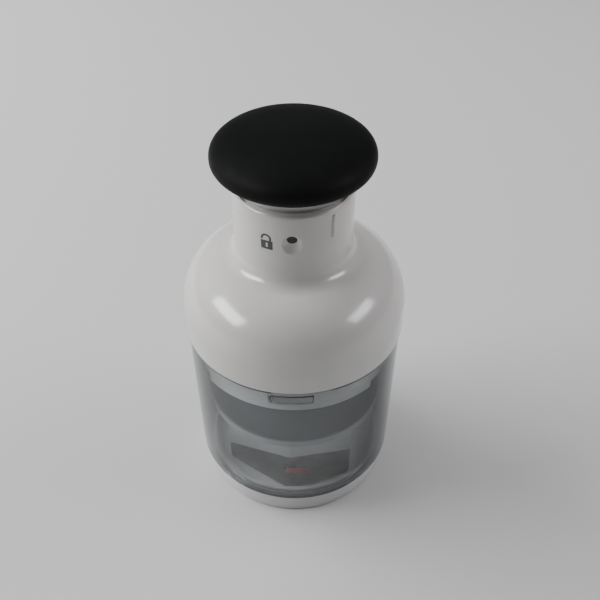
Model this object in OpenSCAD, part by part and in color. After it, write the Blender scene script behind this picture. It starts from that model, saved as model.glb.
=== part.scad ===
// Plunger food chopper, stored position: the knob is down and the blades stand on the base.
// Up is +Z, the front (with the stop pin) faces -Y, and the origin is the middle of the foot.

/* [Body] */
// Outside radius of the white housing at the seam
body_r = 48; // [45:0.5:52]
// Height of the housing, from its seam with the clear cup to the rim of its neck
housing_h = 70; // [66:0.5:76]
// Wall of the moulded housing
housing_wall = 2.6; // [2:0.1:3.2]
// Straight part of the housing above the seam
skirt_h = 12; // [9:0.5:15]
// Distance from the axis at which the round shoulder is centred
shoulder_mid_r = 23; // [20:0.5:26]
// Radius of the hollow curve where the shoulder meets the neck
neck_fillet_r = 7; // [4:0.5:9]

/* [Neck] */
// Outside radius of the neck
neck_r = 24.2; // [23.2:0.1:25.2]
// Rounding of the neck's top rim
neck_rim_r = 1.6; // [1:0.1:2]
// Wall of the neck and its inner guide tube
neck_wall = 2.45; // [2.2:0.05:2.8]

/* [Plunger] */
// Travel of the knob and the blades
stroke = 38; // [30:1:40]
// Turn of the blades over one stroke
index_turn = 45; // [30:5:60]
// Wall of the plunger sleeve
sleeve_wall = 2; // [1.6:0.1:2.4]
// Running gap between the sleeve and what it slides in
slide_gap = 0.3; // [0.25:0.05:0.5]
// Radius of the stop pin
pin_r = 1.95; // [1.6:0.05:2.2]
// Depth of the stop pin below the neck's rim
pin_drop = 10.9; // [10.4:0.1:13]

/* [Knob] */
// Widest radius of the palm knob
knob_r = 31.8; // [28:0.2:36]
// Height of the knob from its underside to its top
knob_h = 19.4; // [18:0.2:24]
// Turn of the knob between open and locked
lock_turn = 30; // [24:1:40]
// Lock lugs round the knob's collar
lock_lugs = 3; // [2:1:3]

/* [Cup] */
// Wall of the clear cup
cup_wall = 2.4; // [2:0.1:3]
// Draft of the cup: how much its radius shrinks from the seam to its bottom edge
cup_taper = 0.7; // [0.3:0.1:1]
// Bayonet lugs inside the cup
cup_lugs = 3; // [2:1:3]
// Width of one bayonet lug, in degrees
lug_arc = 22; // [16:1:26]
// Turn that frees the cup
cup_turn = 58; // [40:1:60]

/* [Base] */
// How far the base's foot stands in from the cup's bottom edge
base_step = 2.7; // [2:0.1:4]
// Height of the base's shoulder, where the cup stands
base_shoulder_z = 13; // [12:0.5:16]
// Height of the chopping floor
floor_z = 8; // [6:0.5:9]

/* [Blades] */
// Thickness of the blade strip
blade_t = 0.6; // [0.5:0.05:0.8]
// Height of the blades below the carrier
blade_h = 37; // [33:0.5:37.5]
// Height of the ground cutting edge
edge_h = 2.4; // [1.5:0.1:3.5]
// Gap round the carrier disc inside the spigot
carrier_gap = 1.1; // [0.8:0.1:2]
// Height of the carrier disc
carrier_h = 6; // [5:0.5:6.5]

/* [Hidden] */
$fn = 96;

eps = 0.01;
seat_gap = 0.1;      // between pieces that are fixed together
face_gap = 0.3;      // between faces that move past each other
front = -90;         // polar angle of the front

// Heights, from the floor up: the blades, their carrier, its stroke and the housing's floor
edge_gap = 2;
bumper_h = 1.5;
bulkhead_lift = 3;   // height of the bulkhead over the seam
blade_top_z = floor_z + edge_gap + blade_h;
carrier_top_z = blade_top_z + carrier_h;
bulkhead_z = carrier_top_z + bumper_h + 0.5 + stroke;
seam_z = bulkhead_z - bulkhead_lift;
neck_top_z = seam_z + housing_h;

// Neck and plunger
neck_bore_r = neck_r - neck_wall;
groove_r = neck_bore_r + 1.45;
lip_h = 3.5;
groove_h = 4.5;
groove_z = neck_top_z - lip_h - groove_h;
guide_bottom_z = seam_z + 28;
bush_h = 10;
bush_wall = 1.25;
bush_pocket_r = neck_bore_r + bush_wall + seat_gap;
sleeve_r = neck_bore_r - slide_gap - 0.1;
sleeve_in_r = sleeve_r - sleeve_wall;
sleeve_bottom_z = seam_z + 10;
sleeve_top_z = groove_z - 0.2;
web_z = neck_top_z - 22;
web_h = 3;
pin_z = neck_top_z - pin_drop;
slot_bottom_z = pin_z - stroke - pin_r - face_gap;
pin_angle = front - 1;

// Knob
collar_bottom_z = sleeve_top_z + face_gap;
journal_r = sleeve_in_r - 0.35;
cap_top_z = neck_top_z;
core_web_z = cap_top_z + face_gap;
core_web_h = 3;
knob_bottom_z = neck_top_z + 3;
knob_mid_z = knob_bottom_z + 0.46 * knob_h;
lug_h = groove_h - 2 * 0.6;
lug_z = groove_z + 0.6;
lock_lug_arc = 16;

// Housing floor and bayonet
shell_in_r = body_r - housing_wall;
shoulder_r = body_r - shoulder_mid_r;
spigot_r = body_r - 3.3;
spigot_wall = 3.1;
spigot_in_r = spigot_r - spigot_wall;
spigot_bottom_z = seam_z - 12.7;
collar_top_z = seam_z + skirt_h;
bulkhead_h = 3.5;
ledge_z = bulkhead_z + bulkhead_h + seat_gap;
ledge_h = 2.5;
boss_top_r = 3.7;
boss_r = spigot_in_r - boss_top_r - 1.9;
ledge_r = boss_r - 5;
boss_bottom_z = ledge_z + ledge_h + seat_gap;
track_z = seam_z - 9.1;
track_h = 5.1;
track_depth = 1.7;
bayonet_gap = 0.4;
lug_mid = front - 1;

// Drive
nut_r = 8;
nut_h = 12;
nut_z = bulkhead_z;
nut_gap = 0.28;
rod_r = 4.1;
rod_square = 6.4;
rod_turn = index_turn / stroke;      // degrees of spiral for each millimetre of height
journal_rod_r = 3.2;
spring_r = sleeve_in_r - 6.35;
spring_wire_r = 0.9;
spring_turns = 8;

// Blade carrier
carrier_r = spigot_in_r - carrier_gap;
hub_r = 9;
groove_depth = 2.4;
rod_seat = 4;        // depth of the rod's foot in the carrier's hub
spiral_bottom_z = carrier_top_z + 0.3;
spiral_top_z = nut_z + nut_h + 2;
rod_shoulder_z = web_z - face_gap;
rod_top_z = web_z + 8;

// Cup and base
cup_top_z = seam_z - face_gap;
cup_bottom_z = base_shoulder_z + 0.3;
cup_r = body_r - 0.6;
cup_in_r = cup_r - cup_wall;
cup_foot_r = cup_r - cup_taper;
base_r = cup_foot_r - base_step;
cup_lip_h = 2.4;
cup_lip_r = base_r - 1.7;
plug_r = cup_lip_r - 0.3;
plug_top_z = base_shoulder_z + 3;
plug_wall = 2;
floor_round = 1.2;
blade_reach = plug_r - plug_wall - 1.95;

// Points of an arc, from angle a0 to a1
function arc(c, r, a0, a1, n) =
    [for (i = [0 : n]) let (a = a0 + (a1 - a0) * i / n) c + r * [cos(a), sin(a)]];

// Part of a ring between two radii, two polar angles and two heights
module ring_sector(r_in, r_out, a0, a1, z0, z1) {
    rotate([0, 0, a0]) rotate_extrude(angle = a1 - a0)
        translate([r_in, z0]) square([r_out - r_in, z1 - z0]);
}

// Plain ring
module ring(r_in, r_out, z0, z1) {
    rotate_extrude() translate([r_in, z0]) square([r_out - r_in, z1 - z0]);
}

// Copies spaced evenly round the axis
module around(count, start = 0) {
    for (i = [0 : count - 1]) rotate([0, 0, start + 360 * i / count]) children();
}

// Straight stack of cylinders: [radius, height] from the bottom up
module stepped(z, steps, i = 0) {
    if (i < len(steps)) {
        translate([0, 0, z]) cylinder(r = steps[i][0], h = steps[i][1]);
        stepped(z + steps[i][1], steps, i + 1);
    }
}

// ---- Knob ----

// Height of the dome's outline at a share of its radius, above or below its widest line
knob_power = 2.3;
function dome(t, h) = [knob_r * pow(abs(cos(t)), 2 / knob_power),
                       knob_mid_z + h * sign(sin(t)) * pow(abs(sin(t)), 2 / knob_power)];

module knob_grip() {
    upper_h = knob_bottom_z + knob_h - knob_mid_z;
    lower_h = knob_mid_z - knob_bottom_z;
    recess_z = core_web_z + core_web_h;
    color([0.07, 0.075, 0.075]) difference() {
        rotate_extrude() polygon(concat(
            [for (i = [-24 : 24]) dome(i * 3.75, i < 0 ? lower_h : upper_h)]));
        translate([0, 0, knob_bottom_z - 1])
            cylinder(r = sleeve_r + seat_gap, h = recess_z + 5 - knob_bottom_z);
    }
}

module knob_core() {
    web_top_z = core_web_z + core_web_h;
    color([0.93, 0.93, 0.92]) difference() {
        union() {
            ring(journal_r + face_gap, sleeve_r, collar_bottom_z, core_web_z + 1);
            translate([0, 0, core_web_z]) cylinder(r = sleeve_r, h = core_web_h);
            ring(sleeve_r - 3, sleeve_r, web_top_z - eps, web_top_z + 3.8);
            around(6, 30) translate([6, -0.8, web_top_z - eps]) cube([sleeve_r - 8, 1.6, 3]);
            around(lock_lugs, front + 60) ring_sector(sleeve_r - 0.5, groove_r - 0.3,
                -lock_lug_arc / 2, lock_lug_arc / 2, lug_z, lug_z + lug_h);
        }
        translate([0, 0, core_web_z - 1]) cylinder(r = 2.4, h = core_web_h + 2);
    }
}

module knob_screw() {
    head_z = core_web_z + core_web_h + 0.25;
    color([0.7, 0.71, 0.72]) difference() {
        union() {
            stepped(head_z, [[4.4, 1.6], [3.6, 0.5]]);
            translate([0, 0, head_z - 14]) cylinder(r = 2, h = 14 + eps);
        }
        around(2) translate([-2.2, -0.45, head_z + 0.9]) cube([4.4, 0.9, 2]);
    }
}

// ---- Plunger ----

module plunger_sleeve() {
    color([0.93, 0.93, 0.92]) difference() {
        union() {
            ring(sleeve_in_r, sleeve_r, sleeve_bottom_z, sleeve_top_z);
            ring(5.5, sleeve_in_r + 0.5, web_z, web_z + web_h);
            around(4, 45) translate([9, -0.8, web_z + web_h - eps])
                cube([sleeve_in_r - 8.8, 1.6, 4]);
        }
        rotate([0, 0, pin_angle]) translate([sleeve_in_r - 1, -pin_r - 0.35, slot_bottom_z])
            cube([sleeve_wall + 2, 2 * pin_r + 0.7, sleeve_top_z - slot_bottom_z + 1]);
    }
}

module plunger_cap() {
    spigot_h = 6;
    boss_h = 7;
    color([0.86, 0.87, 0.87]) difference() {
        union() {
            ring(journal_r - 2.2, sleeve_in_r - seat_gap, sleeve_top_z - spigot_h, sleeve_top_z);
            ring(journal_r - 2.2, journal_r, sleeve_top_z - eps, cap_top_z);
            translate([0, 0, cap_top_z - 3]) cylinder(r = journal_r, h = 3);
            translate([0, 0, cap_top_z - 3 - boss_h]) cylinder(r = 4.6, h = boss_h + 1);
            around(3) translate([3.5, -0.7, cap_top_z - 8]) cube([journal_r - 5, 1.4, 6]);
        }
        translate([0, 0, cap_top_z - 4 - boss_h]) cylinder(r = 2.1, h = boss_h + 6);
    }
}

module spring_cap() {
    color([0.62, 0.64, 0.66]) union() {
        ring(6.4, spring_r + 3, web_z - 1.6, web_z - seat_gap);
        ring(9, spring_r - spring_wire_r - 0.4, web_z - 4, web_z - 1.5);
    }
}

// Coil spring as one tube swept along a helix whose first and last turns lie flat
module return_spring() {
    sides = 6;
    per_turn = 20;
    rings = spring_turns * per_turn;
    z0 = ledge_z - seat_gap + spring_wire_r + 0.2;
    z1 = web_z - 1.6 - spring_wire_r - 0.2;
    flat = 2 * spring_wire_r + 0.25;
    function rise(u) = u < 1 ? z0 + flat * u :
        u > spring_turns - 1 ? z1 - flat * (spring_turns - u) :
        z0 + flat + (z1 - z0 - 2 * flat) * (u - 1) / (spring_turns - 2);
    points = [for (i = [0 : rings], j = [0 : sides - 1])
        let (a = 360 * i / per_turn, b = 360 * j / sides, r = spring_r + spring_wire_r * cos(b))
        [r * cos(a), r * sin(a), rise(i / per_turn) + spring_wire_r * sin(b)]];
    faces = concat(
        [[for (j = [0 : sides - 1]) j]],
        [for (i = [0 : rings - 1], j = [0 : sides - 1])
            let (k = (j + 1) % sides, p = i * sides, q = p + sides) [p + j, q + j, q + k]],
        [for (i = [0 : rings - 1], j = [0 : sides - 1])
            let (k = (j + 1) % sides, p = i * sides, q = p + sides) [p + j, q + k, p + k]],
        [[for (j = [sides - 1 : -1 : 0]) rings * sides + j]]);
    color([0.75, 0.76, 0.78]) polyhedron(points, faces, convexity = 10);
}

module rod_bearing() {
    color([0.55, 0.5, 0.38]) union() {
        ring(journal_rod_r + 0.15, 5.4, web_z, web_z + web_h + 1.2);
        ring(journal_rod_r + 0.15, 7.6, web_z + web_h + 0.05, web_z + web_h + 1.2);
    }
}

module rod_clip() {
    clip_z = web_z + web_h + 1.5;
    color([0.6, 0.61, 0.63]) difference() {
        ring(journal_rod_r - 0.55, 6, clip_z, clip_z + 0.9);
        rotate([0, 0, 200]) translate([0, -2, clip_z - 1]) cube([8, 4, 3]);
    }
}

// ---- Drive ----

module rod_section(gap = 0) {
    intersection() {
        square(rod_square + 2 * gap, center = true);
        circle(r = rod_r + gap, $fn = 32);
    }
}

// Twisted bar; its spiral stands still in space while the rod rises and turns together
module spiral_bar(z0, z1, gap = 0) {
    translate([0, 0, z0]) rotate([0, 0, rod_turn * z0])
        linear_extrude(height = z1 - z0, twist = -rod_turn * (z1 - z0), slices = ceil((z1 - z0) / 3),
                       $fn = 16) rod_section(gap);
}

module spiral_rod() {
    groove_z0 = web_z + web_h + 1.4;
    color([0.72, 0.73, 0.75]) difference() {
        union() {
            translate([0, 0, carrier_top_z - rod_seat]) cylinder(r = 4.4, h = rod_seat + 0.3 + eps);
            spiral_bar(spiral_bottom_z, spiral_top_z);
            translate([0, 0, spiral_top_z - eps])
                cylinder(r = journal_rod_r, h = rod_top_z - spiral_top_z);
            translate([0, 0, rod_shoulder_z - 3]) cylinder(r = 5, h = 3);
        }
        ring(journal_rod_r - 0.6, journal_rod_r + 1, groove_z0, groove_z0 + 1.1);
        translate([0, 0, carrier_top_z - rod_seat - 1]) cylinder(r = 1.5, h = 9);
    }
}

module drive_nut() {
    color([0.8, 0.8, 0.78]) difference() {
        union() {
            translate([0, 0, nut_z]) cylinder(r = nut_r, h = nut_h + 0.5, $fn = 8);
            translate([0, 0, nut_z + nut_h + 0.05]) cylinder(r = nut_r + 1.8, h = 1.5);
        }
        spiral_bar(nut_z - 1, nut_z + nut_h + 3, nut_gap);
    }
}

// ---- Housing ----

// Outline of the housing drawn inwards by d, from the seam up to the neck
function housing_curve(d) =
    let (zs = seam_z + skirt_h,
         dx = (neck_r + neck_fillet_r) - (body_r - shoulder_r),
         zf = zs + sqrt(pow(shoulder_r + neck_fillet_r, 2) - dx * dx),
         a = atan2(zf - zs, dx))
    concat([[body_r - d, seam_z]],
           arc([body_r - shoulder_r, zs], shoulder_r - d, 0, a, 20),
           arc([neck_r + neck_fillet_r, zf], neck_fillet_r + d, a + 180, 180, 7));

module neck_mark() {
    rotate([0, 0, front + 39]) translate([neck_r - 0.3, 0, 0]) {
        translate([0, 0, pin_z - 1.2]) cylinder(r = 1, h = 8.8, $fn = 24);
        translate([0, 0, pin_z + 7.6]) cylinder(r1 = 1, r2 = 0.5, h = 0.8, $fn = 24);
        translate([0, 0, pin_z - 2]) cylinder(r1 = 0.5, r2 = 1, h = 0.8, $fn = 24);
    }
}

module housing_outside() {
    rotate_extrude() polygon(concat(
        [[0, seam_z]], housing_curve(0),
        arc([neck_r - neck_rim_r, neck_top_z - neck_rim_r], neck_rim_r, 0, 90, 5),
        [[0, neck_top_z]]));
}

module housing_inside() {
    wall_line = [for (p = housing_curve(housing_wall)) if (p[0] > neck_r + 0.5) p];
    roof_z = wall_line[len(wall_line) - 1][1];
    rotate_extrude() polygon(concat(
        [[0, seam_z - 1], [shell_in_r, seam_z - 1]], wall_line,
        [[neck_r, roof_z - 0.5], [neck_r, guide_bottom_z], [0, guide_bottom_z]]));
}

// Bore of the neck, with the pocket for its bush and the arcs that the knob's lugs turn in
module neck_bore() {
    rotate_extrude() polygon([
        [0, guide_bottom_z - 1], [bush_pocket_r, guide_bottom_z - 1],
        [bush_pocket_r, guide_bottom_z + bush_h], [neck_bore_r, guide_bottom_z + bush_h],
        [neck_bore_r, neck_top_z - 0.7], [neck_bore_r + 0.7, neck_top_z + eps],
        [0, neck_top_z + eps]]);
    around(lock_lugs, front + 60) ring_sector(neck_bore_r - 1, groove_r,
        -lock_lug_arc / 2 - 1.5, lock_turn + lock_lug_arc / 2 + 1.5, groove_z, groove_z + groove_h);
}

module upper_housing() {
    dish_z = pin_z - 2.1;
    color([0.95, 0.95, 0.94]) difference() {
        union() {
            difference() {
                housing_outside();
                housing_inside();
            }
            intersection() {
                housing_outside();
                around(3, front + 30) translate([boss_r, 0, boss_bottom_z])
                    cylinder(r = boss_top_r, h = 60, $fn = 40);
            }
            neck_mark();
        }
        neck_bore();
        around(lock_lugs, front + 60) ring_sector(neck_bore_r - 1, groove_r,
            -lock_lug_arc / 2 - 1.5, lock_lug_arc / 2 + 1.5, groove_z + 1, neck_top_z + 1);
        rotate([0, 0, pin_angle]) translate([0, 0, pin_z]) rotate([0, 90, 0])
            cylinder(r = pin_r + seat_gap, h = neck_r + 5);
        rotate([0, 0, pin_angle]) translate([neck_r - 1.1, 0, dish_z]) rotate([0, 90, 0])
            cylinder(r1 = 2.2, r2 = 5.8, h = 2);
        around(3, front + 30) translate([boss_r, 0, boss_bottom_z - 1])
            cylinder(r = 1.5 + seat_gap, h = 16, $fn = 24);
    }
}

module neck_bush() {
    color([0.85, 0.85, 0.83]) union() {
        ring(neck_bore_r, bush_pocket_r - seat_gap, guide_bottom_z - 1.2, guide_bottom_z + bush_h - seat_gap);
        ring(neck_bore_r, neck_r, guide_bottom_z - 1.2, guide_bottom_z - seat_gap);
    }
}

module stop_pin() {
    color([0.12, 0.12, 0.13]) rotate([0, 0, pin_angle]) translate([sleeve_in_r + 0.25, 0, pin_z])
        rotate([0, 90, 0]) stepped(0, [[pin_r, neck_r - sleeve_in_r - 1.4], [pin_r - 0.4, 0.3]]);
}

module bulkhead() {
    disc_r = spigot_in_r - 0.2;
    wall = 3;
    color([0.9, 0.9, 0.89]) difference() {
        union() {
            translate([0, 0, bulkhead_z]) cylinder(r = disc_r, h = bulkhead_h);
            translate([0, 0, bulkhead_z]) cylinder(r = nut_r + wall, h = nut_h);
            around(6) translate([sleeve_r + 1.5, -0.9, bulkhead_z + bulkhead_h - 1])
                cube([ledge_r - sleeve_r - 2.2, 1.8, 4]);
        }
        translate([0, 0, bulkhead_z - 1]) cylinder(r = nut_r + seat_gap, h = nut_h + 2, $fn = 8);
        around(3, front + 30) translate([boss_r, 0, bulkhead_z - 1]) {
            cylinder(r = 3.1, h = 3, $fn = 32);
            cylinder(r = 1.7, h = 8, $fn = 24);
        }
    }
}

module bulkhead_screws() {
    color([0.7, 0.71, 0.72]) around(3, front + 30) translate([boss_r, 0, bulkhead_z + 0.1])
        difference() {
            stepped(0, [[2.4, 0.5], [2.9, 1.4], [1.5, 14]]);
            around(2) translate([-1.7, -0.35, -1]) cube([3.4, 0.7, 1.9]);
        }
}

module stop_bumper() {
    color([0.35, 0.36, 0.37]) ring(sleeve_in_r - 1.2, sleeve_r, boss_bottom_z - ledge_h - seat_gap,
                                   sleeve_bottom_z - face_gap);
}

// One bayonet track, cut from outside: a level run and an entry that is open below
module bayonet_track() {
    cut_r = spigot_r + 1;
    left = lug_mid - lug_arc / 2 - 1.5;
    right = lug_mid + cup_turn + lug_arc / 2 + 1.5;
    ring_sector(spigot_r - track_depth, cut_r, left, right, track_z, track_z + track_h);
    ring_sector(spigot_r - track_depth - 0.1, cut_r, right - lug_arc - 3, right - 0.4,
                spigot_bottom_z - 1, track_z + 1);
}

module lower_collar() {
    color([0.93, 0.93, 0.92]) difference() {
        union() {
            ring(spigot_in_r, spigot_r, spigot_bottom_z, seam_z);
            ring(spigot_in_r, shell_in_r - 0.15, seam_z + 0.15, collar_top_z);
            ring(spigot_in_r, spigot_r, seam_z - 1, seam_z + 1);
            ring(ledge_r, spigot_in_r + 1, ledge_z, ledge_z + ledge_h);
        }
        around(cup_lugs) bayonet_track();
        around(3, front + 30) translate([boss_r, 0, ledge_z - 1])
            cylinder(r = 1.9, h = ledge_h + 2, $fn = 24);
    }
}

// ---- Blade head ----

function polar(r, a) = r * [cos(a), sin(a)];

// Corners of the strip, from the hub out to the cup's wall, to the front fold and back
blade_path = [polar(hub_r + 2.7, 200), polar(blade_reach - 1.35, 209.4), polar(blade_reach, 267),
              polar(blade_reach, 313.3), polar(hub_r + 3.4, 346)];

// Sideways direction of the strip at corner i, lengthened so that the panels meet in a mitre
function along(i) = let (d = blade_path[i + 1] - blade_path[i]) d / norm(d);
function mitre(i) =
    let (last = len(blade_path) - 1, a = along(max(i - 1, 0)), b = along(min(i, last - 1)),
         m = [-a[1] - b[1], a[0] + b[0]] / norm(a + b))
    m / (m * [-a[1], a[0]]);

// Zigzag strip, ground to an edge along its bottom: one section swept along the path
module blade() {
    bottom = floor_z + edge_gap;
    half = blade_t / 2;
    section = [[0, bottom], [half, bottom + edge_h], [half, blade_top_z + groove_depth],
               [-half, blade_top_z + groove_depth], [-half, bottom + edge_h]];
    n = len(section);
    last = len(blade_path) - 1;
    points = [for (i = [0 : last], s = section)
        [blade_path[i][0] + s[0] * mitre(i)[0], blade_path[i][1] + s[0] * mitre(i)[1], s[1]]];
    sides = [for (i = [0 : last - 1], j = [0 : n - 1]) let (k = (j + 1) % n, p = i * n, q = p + n)
        each [[p + j, q + j, q + k], [p + j, q + k, p + k]]];
    polyhedron(points, concat([[for (j = [0 : n - 1]) j]], sides,
                              [[for (j = [n - 1 : -1 : 0]) last * n + j]]), convexity = 6);
}

module blade_front() color([0.72, 0.73, 0.74]) blade();

module blade_rear() color([0.72, 0.73, 0.74]) rotate([0, 0, 180]) blade();

// Slots that hold the blades' top edges
module blade_slots() {
    for (turn = [0, 180], i = [0 : len(blade_path) - 2]) rotate([0, 0, turn]) {
        a = blade_path[i];
        run = blade_path[i + 1] - a;
        slot = blade_t + 2 * seat_gap;
        translate([a[0], a[1], blade_top_z - 1]) rotate([0, 0, atan2(run[1], run[0])])
            translate([-slot * 0.6, -slot / 2, 0])
                cube([norm(run) + slot * 1.2, slot, groove_depth + 1 + seat_gap]);
    }
}

module blade_carrier() {
    plate = 3.6;
    color([0.2, 0.22, 0.24]) difference() {
        union() {
            translate([0, 0, blade_top_z]) cylinder(r = carrier_r, h = plate);
            ring(carrier_r - 1.8, carrier_r, blade_top_z + plate - eps, carrier_top_z);
            translate([0, 0, blade_top_z]) cylinder(r = hub_r, h = carrier_h);
        }
        blade_slots();
        translate([0, 0, carrier_top_z - rod_seat - 0.2]) cylinder(r = 4.5, h = rod_seat + 1);
        translate([0, 0, blade_top_z - 1]) cylinder(r = 1.8, h = 4);
    }
}

module carrier_bumper() {
    color([0.4, 0.42, 0.44]) ring(5, hub_r - 0.4, carrier_top_z + seat_gap / 2,
                                      carrier_top_z + bumper_h);
}

module carrier_screw() {
    color([0.7, 0.71, 0.72]) difference() {
        stepped(blade_top_z - 2, [[2.8, 0.5], [3.4, 1.4], [1.4, 9]]);
        around(2) translate([-2, -0.4, blade_top_z - 3]) cube([4, 0.8, 1.9]);
    }
}

// Small clip that grips the fold of the front blade and shows a lens-shaped face
module blade_catch() {
    clip_z = floor_z + 18;
    clip_h = 2.8;
    clip_w = 11.7;
    fold = blade_path[2];
    arm = 2.8;
    left = atan2(blade_path[1][1] - fold[1], blade_path[1][0] - fold[0]);
    right = atan2(blade_path[3][1] - fold[1], blade_path[3][0] - fold[0]);
    function side(a, d, out) = arm * [cos(a), sin(a)] + (blade_t / 2 + out) * d;
    out_l = [cos(left + 90), sin(left + 90)];
    out_r = [cos(right - 90), sin(right - 90)];
    lens_r = (clip_w * clip_w + clip_h * clip_h) / (4 * clip_h);
    half = asin(clip_w / 2 / lens_r) - 1.5;
    color([0.78, 0.12, 0.12]) translate([fold[0], fold[1], clip_z]) union() {
        translate([0, 0, 0.5]) linear_extrude(clip_h - 1)
            polygon([side(left, out_l, 0.08), side(left, out_l, 0.6), [-0.9, -1.25], [1.2, -1.25],
                     side(right, out_r, 0.6), side(right, out_r, 0.08), [0.02, -0.46]]);
        translate([3.3, -1, clip_h / 2]) rotate([90, 0, 0]) linear_extrude(0.8) polygon(concat(
            arc([0, clip_h / 2 - lens_r], lens_r, 90 - half, 90 + half, 10),
            arc([0, lens_r - clip_h / 2], lens_r, 270 - half, 270 + half, 10)));
    }
}

// ---- Cup and base ----

module cup() {
    color([0.72, 0.8, 0.84, 0.35]) union() {
        rotate_extrude() polygon([
            [cup_lip_r, cup_bottom_z], [cup_foot_r - 0.8, cup_bottom_z], [cup_foot_r, cup_bottom_z + 0.8],
            [cup_r, cup_top_z - 0.4], [cup_r - 0.4, cup_top_z], [cup_in_r + 0.4, cup_top_z],
            [cup_in_r, cup_top_z - 0.4], [cup_foot_r - cup_wall, cup_bottom_z + cup_lip_h],
            [cup_lip_r, cup_bottom_z + cup_lip_h]]);
        around(cup_lugs) ring_sector(spigot_r - track_depth + bayonet_gap, cup_in_r + 0.8,
            lug_mid - lug_arc / 2, lug_mid + lug_arc / 2,
            track_z + bayonet_gap, track_z + track_h - bayonet_gap);
    }
}

module base() {
    color([0.93, 0.93, 0.93]) difference() {
        rotate_extrude() polygon(concat(
            [[0, 5], [base_r - 3.2, 5], [base_r - 3, 0]],
            arc([base_r - 1.4, 1.4], 1.4, -90, 0, 5),
            [[base_r, base_shoulder_z], [plug_r, base_shoulder_z], [plug_r, plug_top_z - 0.6],
             [plug_r - 0.6, plug_top_z], [plug_r - plug_wall, plug_top_z]],
            arc([plug_r - plug_wall - floor_round, floor_z + floor_round], floor_round, 0, -90, 4),
            [[0, floor_z]]));
        ring(plug_r - 0.9, plug_r + 1, base_shoulder_z + 0.5, base_shoulder_z + 2);
    }
}

module base_gasket() {
    color([0.8, 0.8, 0.8]) ring(plug_r - 0.8, plug_r, base_shoulder_z + 0.6, base_shoulder_z + 1.9);
}

knob_grip();
knob_core();
knob_screw();
plunger_sleeve();
plunger_cap();
spring_cap();
return_spring();
rod_bearing();
rod_clip();
spiral_rod();
drive_nut();
bulkhead();
bulkhead_screws();
stop_bumper();
neck_bush();
stop_pin();
upper_housing();
lower_collar();
blade_carrier();
carrier_bumper();
carrier_screw();
blade_front();
blade_rear();
blade_catch();
cup();
base();
base_gasket();
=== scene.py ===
import math

import bmesh
import bpy
from mathutils import Matrix, Vector


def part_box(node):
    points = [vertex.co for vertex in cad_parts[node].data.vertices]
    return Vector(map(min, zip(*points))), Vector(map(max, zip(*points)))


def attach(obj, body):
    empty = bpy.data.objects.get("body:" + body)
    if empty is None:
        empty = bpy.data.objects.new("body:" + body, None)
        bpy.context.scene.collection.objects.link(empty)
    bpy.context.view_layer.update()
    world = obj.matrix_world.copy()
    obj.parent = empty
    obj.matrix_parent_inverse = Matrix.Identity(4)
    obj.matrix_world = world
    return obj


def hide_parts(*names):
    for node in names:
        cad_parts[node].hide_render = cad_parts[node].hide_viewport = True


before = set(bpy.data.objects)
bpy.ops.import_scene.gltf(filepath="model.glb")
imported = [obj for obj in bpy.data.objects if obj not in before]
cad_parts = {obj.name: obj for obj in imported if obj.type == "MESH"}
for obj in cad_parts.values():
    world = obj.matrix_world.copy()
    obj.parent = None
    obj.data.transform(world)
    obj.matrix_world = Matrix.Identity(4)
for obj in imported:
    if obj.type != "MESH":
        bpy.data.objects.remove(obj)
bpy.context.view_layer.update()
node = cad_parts

# ---- Base ----
# Push-on base cap that closes the cup and serves as the chopping board. It is one injection
# moulding in pale satin plastic: a foot ring, a recessed floor and a tall wall that plugs the cup.
# A soft grey gasket lies in a groove round the plug.

MM = 0.001


def fillet(corners, closed=True):
    """Outline through corners (radius, height, rounding) in mm, each corner rounded by an arc."""
    points = []
    count = len(corners)
    for i, (x, z, rounding) in enumerate(corners):
        corner = Vector((x, z))
        before = Vector(corners[i - 1][:2]) - corner
        after = Vector(corners[(i + 1) % count][:2]) - corner
        if rounding == 0 or (not closed and i in (0, count - 1)):
            points.append(corner)
            continue
        turn = before.angle(after)
        reach = min(rounding / math.tan(turn / 2), 0.48 * before.length, 0.48 * after.length)
        radius = reach * math.tan(turn / 2)
        middle = corner + (before.normalized() + after.normalized()).normalized() * (
            radius / math.sin(turn / 2))
        start = corner + before.normalized() * reach - middle
        sweep = math.pi - turn
        side = 1 if before.x * after.y - before.y * after.x < 0 else -1
        steps = max(2, min(16, round(radius * sweep / 0.35) + 2))
        # A spare point beside each end of the arc keeps the shading of a long wall flat
        if before.length > 2 * reach + 3:
            points.append(corner + before.normalized() * (reach + 0.3))
        for k in range(steps + 1):
            points.append(middle + Matrix.Rotation(side * sweep * k / steps, 2) @ start)
        if after.length > 2 * reach + 3:
            points.append(corner + after.normalized() * (reach + 0.3))
    return points


def turned(outline, steps=180, arc=math.tau, start=0.0):
    """An outline in mm spun round the plunger's axis: a closed ring, or a disc if it meets the axis."""
    bm = bmesh.new()
    facing = Matrix.Rotation(start, 3, "Z")
    verts = [bm.verts.new(facing @ Vector((p[0] * MM, 0, p[1] * MM))) for p in outline]
    edges = [bm.edges.new(pair) for pair in zip(verts, verts[1:])]
    meets_axis = outline[0][0] < 1e-6 and outline[-1][0] < 1e-6
    if not meets_axis:
        edges.append(bm.edges.new((verts[-1], verts[0])))
    full = arc > math.tau - 1e-6
    ends = [] if full else bmesh.ops.contextual_create(bm, geom=edges)["faces"]
    bmesh.ops.spin(bm, geom=verts + edges + ends, axis=(0, 0, 1), cent=(0, 0, 0), angle=arc,
                   steps=steps, use_merge=full, use_duplicate=False)
    bmesh.ops.remove_doubles(bm, verts=bm.verts, dist=1e-6)
    return bm


def shade_smooth(bm, crease):
    """Smooth shading, except along folds sharper than crease degrees."""
    for face in bm.faces:
        face.smooth = True
    for edge in bm.edges:
        edge.smooth = len(edge.link_faces) == 2 and edge.calc_face_angle(0) < math.radians(crease)


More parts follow.
